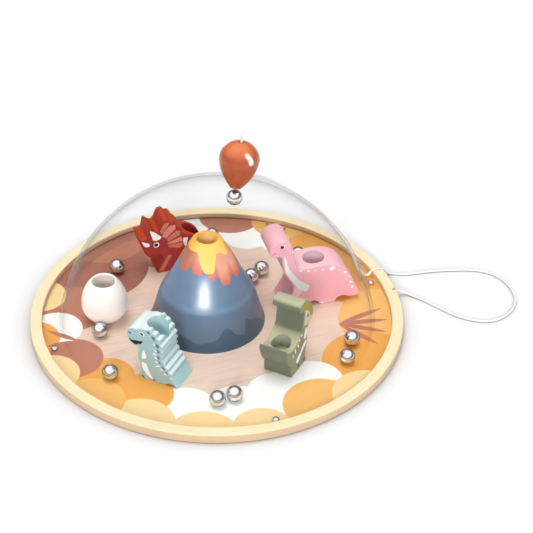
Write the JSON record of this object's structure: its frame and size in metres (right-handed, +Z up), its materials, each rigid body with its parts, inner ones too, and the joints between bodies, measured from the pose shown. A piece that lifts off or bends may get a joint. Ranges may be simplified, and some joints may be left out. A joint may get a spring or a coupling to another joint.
{
  "type": "magnetic maze toy",
  "caption": "Clear dome screwed on a round wooden tray, with a volcano, an egg, cut-out dinosaurs and loose steel balls that a corded magnetic wand lifts.",
  "frame": {"origin": "middle of the tray's underside, on the surface that the toy stands on", "axes": "+Z up, -Y towards the player, +X to the player's right, where the cord lies"},
  "size_m": [0.317, 0.24, 0.1269],
  "materials": {
    "ring_wood": "clear satin lacquer",
    "board_print": "printed, satin",
    "dome_plastic": "clear, polished",
    "screw_steel": "bright",
    "volcano_paint": "satin paint",
    "egg_paint": "gloss paint",
    "red_paint": "satin paint",
    "blue_paint": "satin paint",
    "pink_paint": "satin paint",
    "green_paint": "satin paint",
    "ball_steel": "polished",
    "knob_paint": "gloss paint",
    "magnet": "plain",
    "cord": "plain"
  },
  "bodies": {
    "tray": {"tray_ring": "ring_wood", "base_board": "board_print", "dome_shell": "dome_plastic", "rim_screws": "screw_steel", "figure_screws": "screw_steel", "volcano": "volcano_paint", "egg": "egg_paint", "horned_dinosaur": "red_paint", "t_rex_dinosaur": "blue_paint", "long_neck_dinosaur": "pink_paint", "crested_dinosaur": "green_paint", "wand_cord": "cord"},
    "floor_ball_1": {"ball_1": "ball_steel"},
    "floor_ball_2": {"ball_2": "ball_steel"},
    "floor_ball_3": {"ball_3": "ball_steel"},
    "floor_ball_4": {"ball_4": "ball_steel"},
    "floor_ball_5": {"ball_5": "ball_steel"},
    "floor_ball_6": {"ball_6": "ball_steel"},
    "floor_ball_7": {"ball_7": "ball_steel"},
    "floor_ball_8": {"ball_8": "ball_steel"},
    "floor_ball_9": {"ball_9": "ball_steel"},
    "floor_ball_10": {"ball_10": "ball_steel"},
    "floor_ball_11": {"ball_11": "ball_steel"},
    "wand": {"wand_knob": "knob_paint", "wand_magnet": "magnet", "wand_cord_end": "cord"},
    "held_ball": {"carried_ball": "ball_steel"}
  },
  "joints": [
    {"name": "ball_1_roll", "type": "hinge", "parent": "tray", "child": "floor_ball_1", "pos_m": [0, 0, 0.0073], "axis": [0, 0, 1], "range_deg": [-15, 21]},
    {"name": "ball_2_roll", "type": "hinge", "parent": "tray", "child": "floor_ball_2", "pos_m": [0, 0, 0.0073], "axis": [0, 0, 1], "range_deg": [0, 28]},
    {"name": "ball_3_roll", "type": "hinge", "parent": "tray", "child": "floor_ball_3", "pos_m": [0, 0, 0.0073], "axis": [0, 0, 1], "range_deg": [-34, 21]},
    {"name": "ball_4_roll", "type": "hinge", "parent": "tray", "child": "floor_ball_4", "pos_m": [0, 0, 0.0073], "axis": [0, 0, 1], "range_deg": [-13, 0]},
    {"name": "ball_5_roll", "type": "hinge", "parent": "tray", "child": "floor_ball_5", "pos_m": [0, 0, 0.0073], "axis": [0, 0, 1], "range_deg": [0, 34]},
    {"name": "ball_6_roll", "type": "hinge", "parent": "tray", "child": "floor_ball_6", "pos_m": [0, 0, 0.0073], "axis": [0, 0, 1], "range_deg": [-1, 22]},
    {"name": "ball_7_roll", "type": "hinge", "parent": "tray", "child": "floor_ball_7", "pos_m": [0, 0, 0.0073], "axis": [0, 0, 1], "range_deg": [-8, 3]},
    {"name": "ball_8_roll", "type": "hinge", "parent": "tray", "child": "floor_ball_8", "pos_m": [0, 0, 0.0073], "axis": [0, 0, 1], "range_deg": [-15, 40]},
    {"name": "ball_9_roll", "type": "hinge", "parent": "tray", "child": "floor_ball_9", "pos_m": [0, 0, 0.0073], "axis": [0, 0, 1], "range_deg": [-14, 30]},
    {"name": "ball_10_roll", "type": "hinge", "parent": "tray", "child": "floor_ball_10", "pos_m": [0, 0, 0.0073], "axis": [0, 0, 1], "range_deg": [-15, 23]},
    {"name": "ball_11_roll", "type": "hinge", "parent": "tray", "child": "floor_ball_11", "pos_m": [0, 0, 0.0073], "axis": [0, 0, 1], "range_deg": [-15, 17]},
    {"name": "wand_glide", "type": "hinge", "parent": "tray", "child": "wand", "pos_m": [0, 0, -0.00935], "axis": [0, 0.989, -0.1478], "range_deg": [-76, 64]},
    {"name": "held_ball_follow", "type": "hinge", "parent": "tray", "child": "held_ball", "pos_m": [0, 0, -0.00935], "axis": [0, 0.989, -0.1478], "range_deg": [-76, 64]}
  ],
  "couplings": [
    {"joint": "held_ball_follow", "follows": "wand_glide", "ratio": 1}
  ]
}
